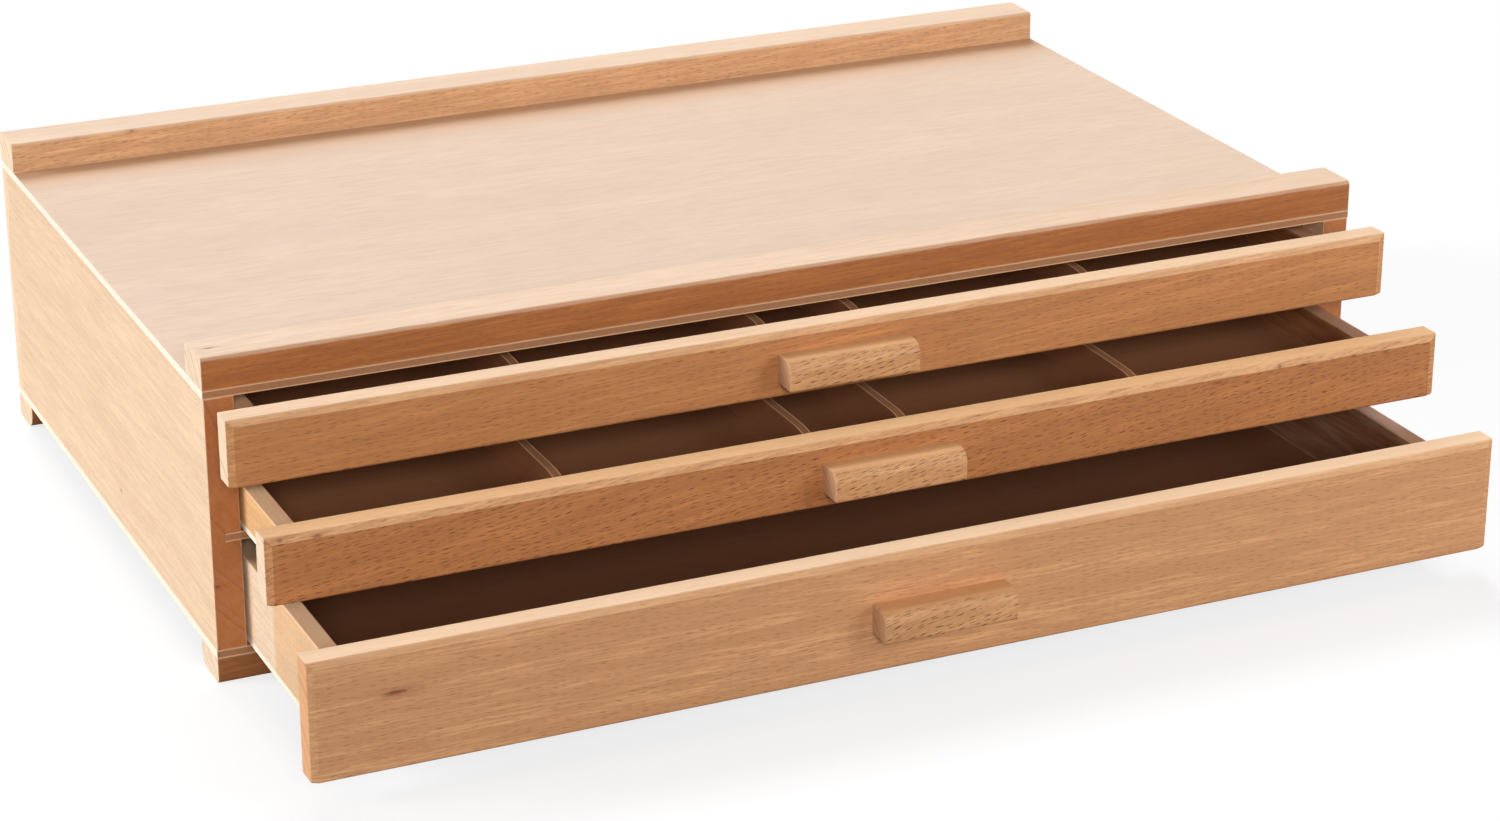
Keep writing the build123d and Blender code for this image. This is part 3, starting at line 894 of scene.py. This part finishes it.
class PENCILBOX_OT_drawer_fronts(Operator):
    """Finish the three drawer fronts, each from its own board"""

    bl_idname = "pencilbox.drawer_fronts"
    bl_label = "Drawer fronts"

    def execute(self, context):
        wood = context.scene.beech_wood
        # The top colours are painted light from above on the fronts' upward faces, and painted shade on the
        # middle front's.
        looks = {
            "upper": dict(face=wood.upper_front, end=wood.lit_end_grain, top=wood.lit_top_grain, slope=0.06,
                          seed=10, spacing=3.0, flecks=0.6, rings=0.4, grain=0.9, figure=0.3),
            "middle": dict(face=wood.middle_front, end=wood.lit_end_grain, top=wood.shaded_golden_top, slope=0.14,
                           seed=11, spacing=3.4, flecks=1.1, rings=0.4, grain=1.0, figure=0.35),
            "lower": dict(face=wood.lower_front, end=wood.lower_end, top=wood.lit_top_grain, slope=0.0,
                          seed=12, spacing=4.5, flecks=0.45, rings=0.9, grain=1.4, figure=0.75),
        }
        for drawer, look in looks.items():
            node = f"{drawer}_drawer_front"
            # The bevel colour paints a highlight on the shallow bevels of each front.
            dress(node, beech(f"{node}_beech", node, bevel=wood.bevel, pith=(0.0, 30.0, -45.0), **look))
        return {"FINISHED"}


SIDE_SEEDS = {"left": 20, "right": 25}
BACK_SEED = 31
FLOOR_SEED = 37
# The painted shadow of the middle drawer's front lies on the lower drawer's sides in front of this place.
DEEP_SHADOW_EDGE = -97.0  # place in Y, in millimetres, where the tone of the lower drawer's sides changes


class PENCILBOX_OT_drawer_boxes(Operator):
    """Finish the sides, backs and plywood floors of the drawers"""

    bl_idname = "pencilbox.drawer_boxes"
    bl_label = "Drawer boxes"

    def execute(self, context):
        wood, ply = context.scene.beech_wood, context.scene.plywood
        for number, drawer in enumerate(DRAWERS):
            deep = drawer == "lower"
            face = wood.deep_sides if deep else wood.drawer_sides
            # The lower drawer's sides get a painted shadow on their front part.
            front_shadow = (wood.deep_side_shadow, DEEP_SHADOW_EDGE) if deep else None
            # The side tops are painted: lit on the left side, shaded on the right side.
            for side, top, way in (("left", wood.lit_side_tops, 1.0), ("right", wood.shaded_tops, -1.0)):
                node = f"{drawer}_drawer_{side}_side"
                dress(node, beech(f"{node}_beech", node, face, along_y=True, end=wood.lit_end_grain, top=top,
                                  inner_shade=(wood.inner_face_shade, way), front_shadow=front_shadow, seed=SIDE_SEEDS[side] + number,
                                  pith=(0.0, 40.0, 12.0), spacing=3.0, flecks=0.3, rings=0.4, grain=0.6))
            node = f"{drawer}_drawer_back"
            dress(node, beech(f"{node}_beech", node, wood.drawer_backs, end=wood.lit_end_grain,
                              top=wood.lit_top_grain, seed=BACK_SEED + number, spacing=3.4, flecks=0.7))
            node = f"{drawer}_drawer_floor"
            # The floor faces are painted shade.
            face = ply.shaded_deep_floor if deep else ply.shaded_floor_face
            dress(node, plywood(f"{node}_plywood", node, face, seed=FLOOR_SEED + number))
        return {"FINISHED"}


DIVIDER_SEED = 40


class PENCILBOX_OT_dividers(Operator):
    """Finish the plywood dividers of the two shallow drawers"""

    bl_idname = "pencilbox.dividers"
    bl_label = "Dividers"

    def execute(self, context):
        ply = context.scene.plywood
        for drawer in DIVIDED_DRAWERS:
            for number in range(1, DIVIDERS + 1):
                node = f"{drawer}_drawer_divider_{number}"
                dress(node, plywood(f"{node}_plywood", node, ply.divider_face_in_shade, thin_axis="X", along_y=True,
                                    seed=DIVIDER_SEED + number))
        return {"FINISHED"}


class PENCILBOX_OT_handles(Operator):
    """Finish the three bar handles and their screws"""

    bl_idname = "pencilbox.handles"
    bl_label = "Handles"

    def execute(self, context):
        wood = context.scene.beech_wood
        screws = zinc("screw_zinc")
        for seed, drawer in enumerate(DRAWERS, start=50):
            node = f"{drawer}_drawer_handle"
            dress(node, beech(f"{node}_beech", node, wood.handles, end=wood.handle_ends, seed=seed,
                              slope=0.2, pith=(0.0, 20.0, -14.0), spacing=2.4, flecks=1.25, rings=0.5,
                              grain=0.9))
            dress(f"{drawer}_handle_screws", screws)
        return {"FINISHED"}


# --------------------------------------------------------------------- stage
# Places and sizes of the stage are in metres.

# Each sun's direction from the box and its width in degrees.
SUNS = {
    "side_light": ((-0.92, 0.26, 0.29), 26),
    "top_light": ((0.12, 0.68, 0.72), 28),
    "front_light": ((-0.27, -0.87, 0.41), 16),
}
SUN_DISTANCE = 3
PANEL_PLACE = (0.7, -0.95, 0.45)
PANEL_AIM = (0.0, -0.1, 0.05)
PANEL_SIZE = 0.5
FLOOR_REACH = 6.0
FLOOR_LIT = (0.3, 0.3, 0.3)
FLOOR_SEEN = (0.96, 0.96, 0.97)
FLOOR_GLOW = 1.06
FLOOR_GLOW_SHARE = 0.7
WHITE = (1.0, 1.0, 1.0, 1.0)
SENSOR_WIDTH = 36.0  # millimetres


class PENCILBOX_OT_stage(Operator):
    """Set up the pale floor, the lights and the camera"""

    bl_idname = "pencilbox.stage"
    bl_label = "Studio"

    def execute(self, context):
        stage = context.scene.pencil_stage
        lay_floor(context)
        for name, (towards, softness) in SUNS.items():
            add_sun(context, name, getattr(stage, name), towards, softness)
        add_panel(context, stage.front_panel)
        light_sky(context, stage.sky)
        set_camera(context, stage)
        context.scene.view_settings.view_transform = "Standard"
        return {"FINISHED"}


def lay_floor(context):
    """A wide floor that looks white and keeps a soft shadow."""
    mesh = bpy.data.meshes.new("studio_floor")
    corners = [(-FLOOR_REACH, -FLOOR_REACH, 0), (FLOOR_REACH, -FLOOR_REACH, 0),
               (FLOOR_REACH, FLOOR_REACH, 0), (-FLOOR_REACH, FLOOR_REACH, 0)]
    mesh.from_pydata(corners, [], [(0, 1, 2, 3)])
    floor = bpy.data.objects.new("studio_floor", mesh)
    context.scene.collection.objects.link(floor)
    material = bpy.data.materials.new("studio_floor_paint")
    material.use_nodes = True
    tree = material.node_tree
    tree.nodes.clear()
    seen = tree.nodes.new("ShaderNodeLightPath").outputs["Is Camera Ray"]
    paint = add(tree, "ShaderNodeBsdfDiffuse", {"Color": mix(tree, seen, FLOOR_LIT, FLOOR_SEEN)})
    glow = add(tree, "ShaderNodeEmission", {"Color": WHITE, "Strength": FLOOR_GLOW})
    share = times(tree, seen, FLOOR_GLOW_SHARE)
    both = add(tree, "ShaderNodeMixShader", {0: share, 1: paint.outputs[0], 2: glow.outputs[0]})
    add(tree, "ShaderNodeOutputMaterial", {"Surface": both.outputs[0]})
    mesh.materials.append(material)


def add_sun(context, name, strength, towards, softness):
    """A soft lamp far away, in the direction given from the object."""
    lamp = bpy.data.lights.new(name, "SUN")
    lamp.energy = strength
    lamp.angle = math.radians(softness)
    holder = bpy.data.objects.new(name, lamp)
    holder.location = Vector(towards) * SUN_DISTANCE
    holder.rotation_euler = Vector(towards).to_track_quat("Z", "Y").to_euler()
    context.scene.collection.objects.link(holder)


def add_panel(context, watts):
    """A soft square panel at the front right, turned to the middle of the box."""
    lamp = bpy.data.lights.new("front_panel", "AREA")
    lamp.energy = watts
    lamp.size = PANEL_SIZE
    holder = bpy.data.objects.new("front_panel", lamp)
    holder.location = PANEL_PLACE
    aim = Vector(PANEL_AIM) - holder.location
    holder.rotation_euler = aim.to_track_quat("-Z", "Y").to_euler()
    context.scene.collection.objects.link(holder)


def light_sky(context, strength):
    """A white surrounding that gives the surfaces only a little light."""
    world = bpy.data.worlds.new("studio_sky")
    context.scene.world = world
    world.use_nodes = True
    tree = world.node_tree
    path = tree.nodes.new("ShaderNodeLightPath").outputs
    seen = larger(tree, path["Is Camera Ray"],
                  larger(tree, path["Is Glossy Ray"], path["Is Transmission Ray"]))
    background = tree.nodes["Background"].inputs
    feed(tree, background["Strength"], fade(tree, seen, 0.0, 1.0, strength, 1.0))
    background["Color"].default_value = WHITE


def set_camera(context, stage):
    """A camera with a long lens and no roll, up and to the left of the box."""
    camera = bpy.data.cameras.new("camera")
    camera.sensor_width = SENSOR_WIDTH
    camera.lens = stage.lens
    holder = bpy.data.objects.new("camera", camera)
    holder.location = stage.camera_place
    holder.rotation_euler = (math.pi / 2 - stage.camera_dip, 0.0, -stage.camera_turn)
    context.scene.collection.objects.link(holder)
    context.scene.camera = holder


# ------------------------------------------------------ panel, register, main

class PENCILBOX_PT_panel(Panel):
    """Steps and settings of the pencil drawer box"""

    bl_idname = "PENCILBOX_PT_panel"
    bl_label = "Pencil drawer box"
    bl_space_type = "VIEW_3D"
    bl_region_type = "UI"
    bl_category = "Pencil box"

    def draw(self, context):
        for step in STEPS:
            self.layout.operator(step.bl_idname)
        for group in (context.scene.beech_wood, context.scene.plywood, context.scene.pencil_stage):
            box = self.layout.box()
            for name in group.bl_rna.properties.keys():
                if name not in ("rna_type", "name"):
                    box.prop(group, name)


STEPS = (PENCILBOX_OT_stage, PENCILBOX_OT_case_sides, PENCILBOX_OT_case_panels, PENCILBOX_OT_rails,
         PENCILBOX_OT_drawer_fronts, PENCILBOX_OT_drawer_boxes, PENCILBOX_OT_dividers, PENCILBOX_OT_handles)
CLASSES = (BeechSettings, PlywoodSettings, StageSettings, *STEPS, PENCILBOX_PT_panel)


def register():
    """Adds the classes and the scene's settings."""
    for cls in CLASSES:
        bpy.utils.register_class(cls)
    bpy.types.Scene.beech_wood = PointerProperty(type=BeechSettings)
    bpy.types.Scene.plywood = PointerProperty(type=PlywoodSettings)
    bpy.types.Scene.pencil_stage = PointerProperty(type=StageSettings)


def unregister():
    """Takes the settings and the classes away again."""
    del bpy.types.Scene.pencil_stage
    del bpy.types.Scene.plywood
    del bpy.types.Scene.beech_wood
    for cls in reversed(CLASSES):
        bpy.utils.unregister_class(cls)


def main():
    """Runs every step."""
    register()
    for step in STEPS:
        group, name = step.bl_idname.split(".")
        getattr(getattr(bpy.ops, group), name)()


if __name__ == "__main__":
    main()
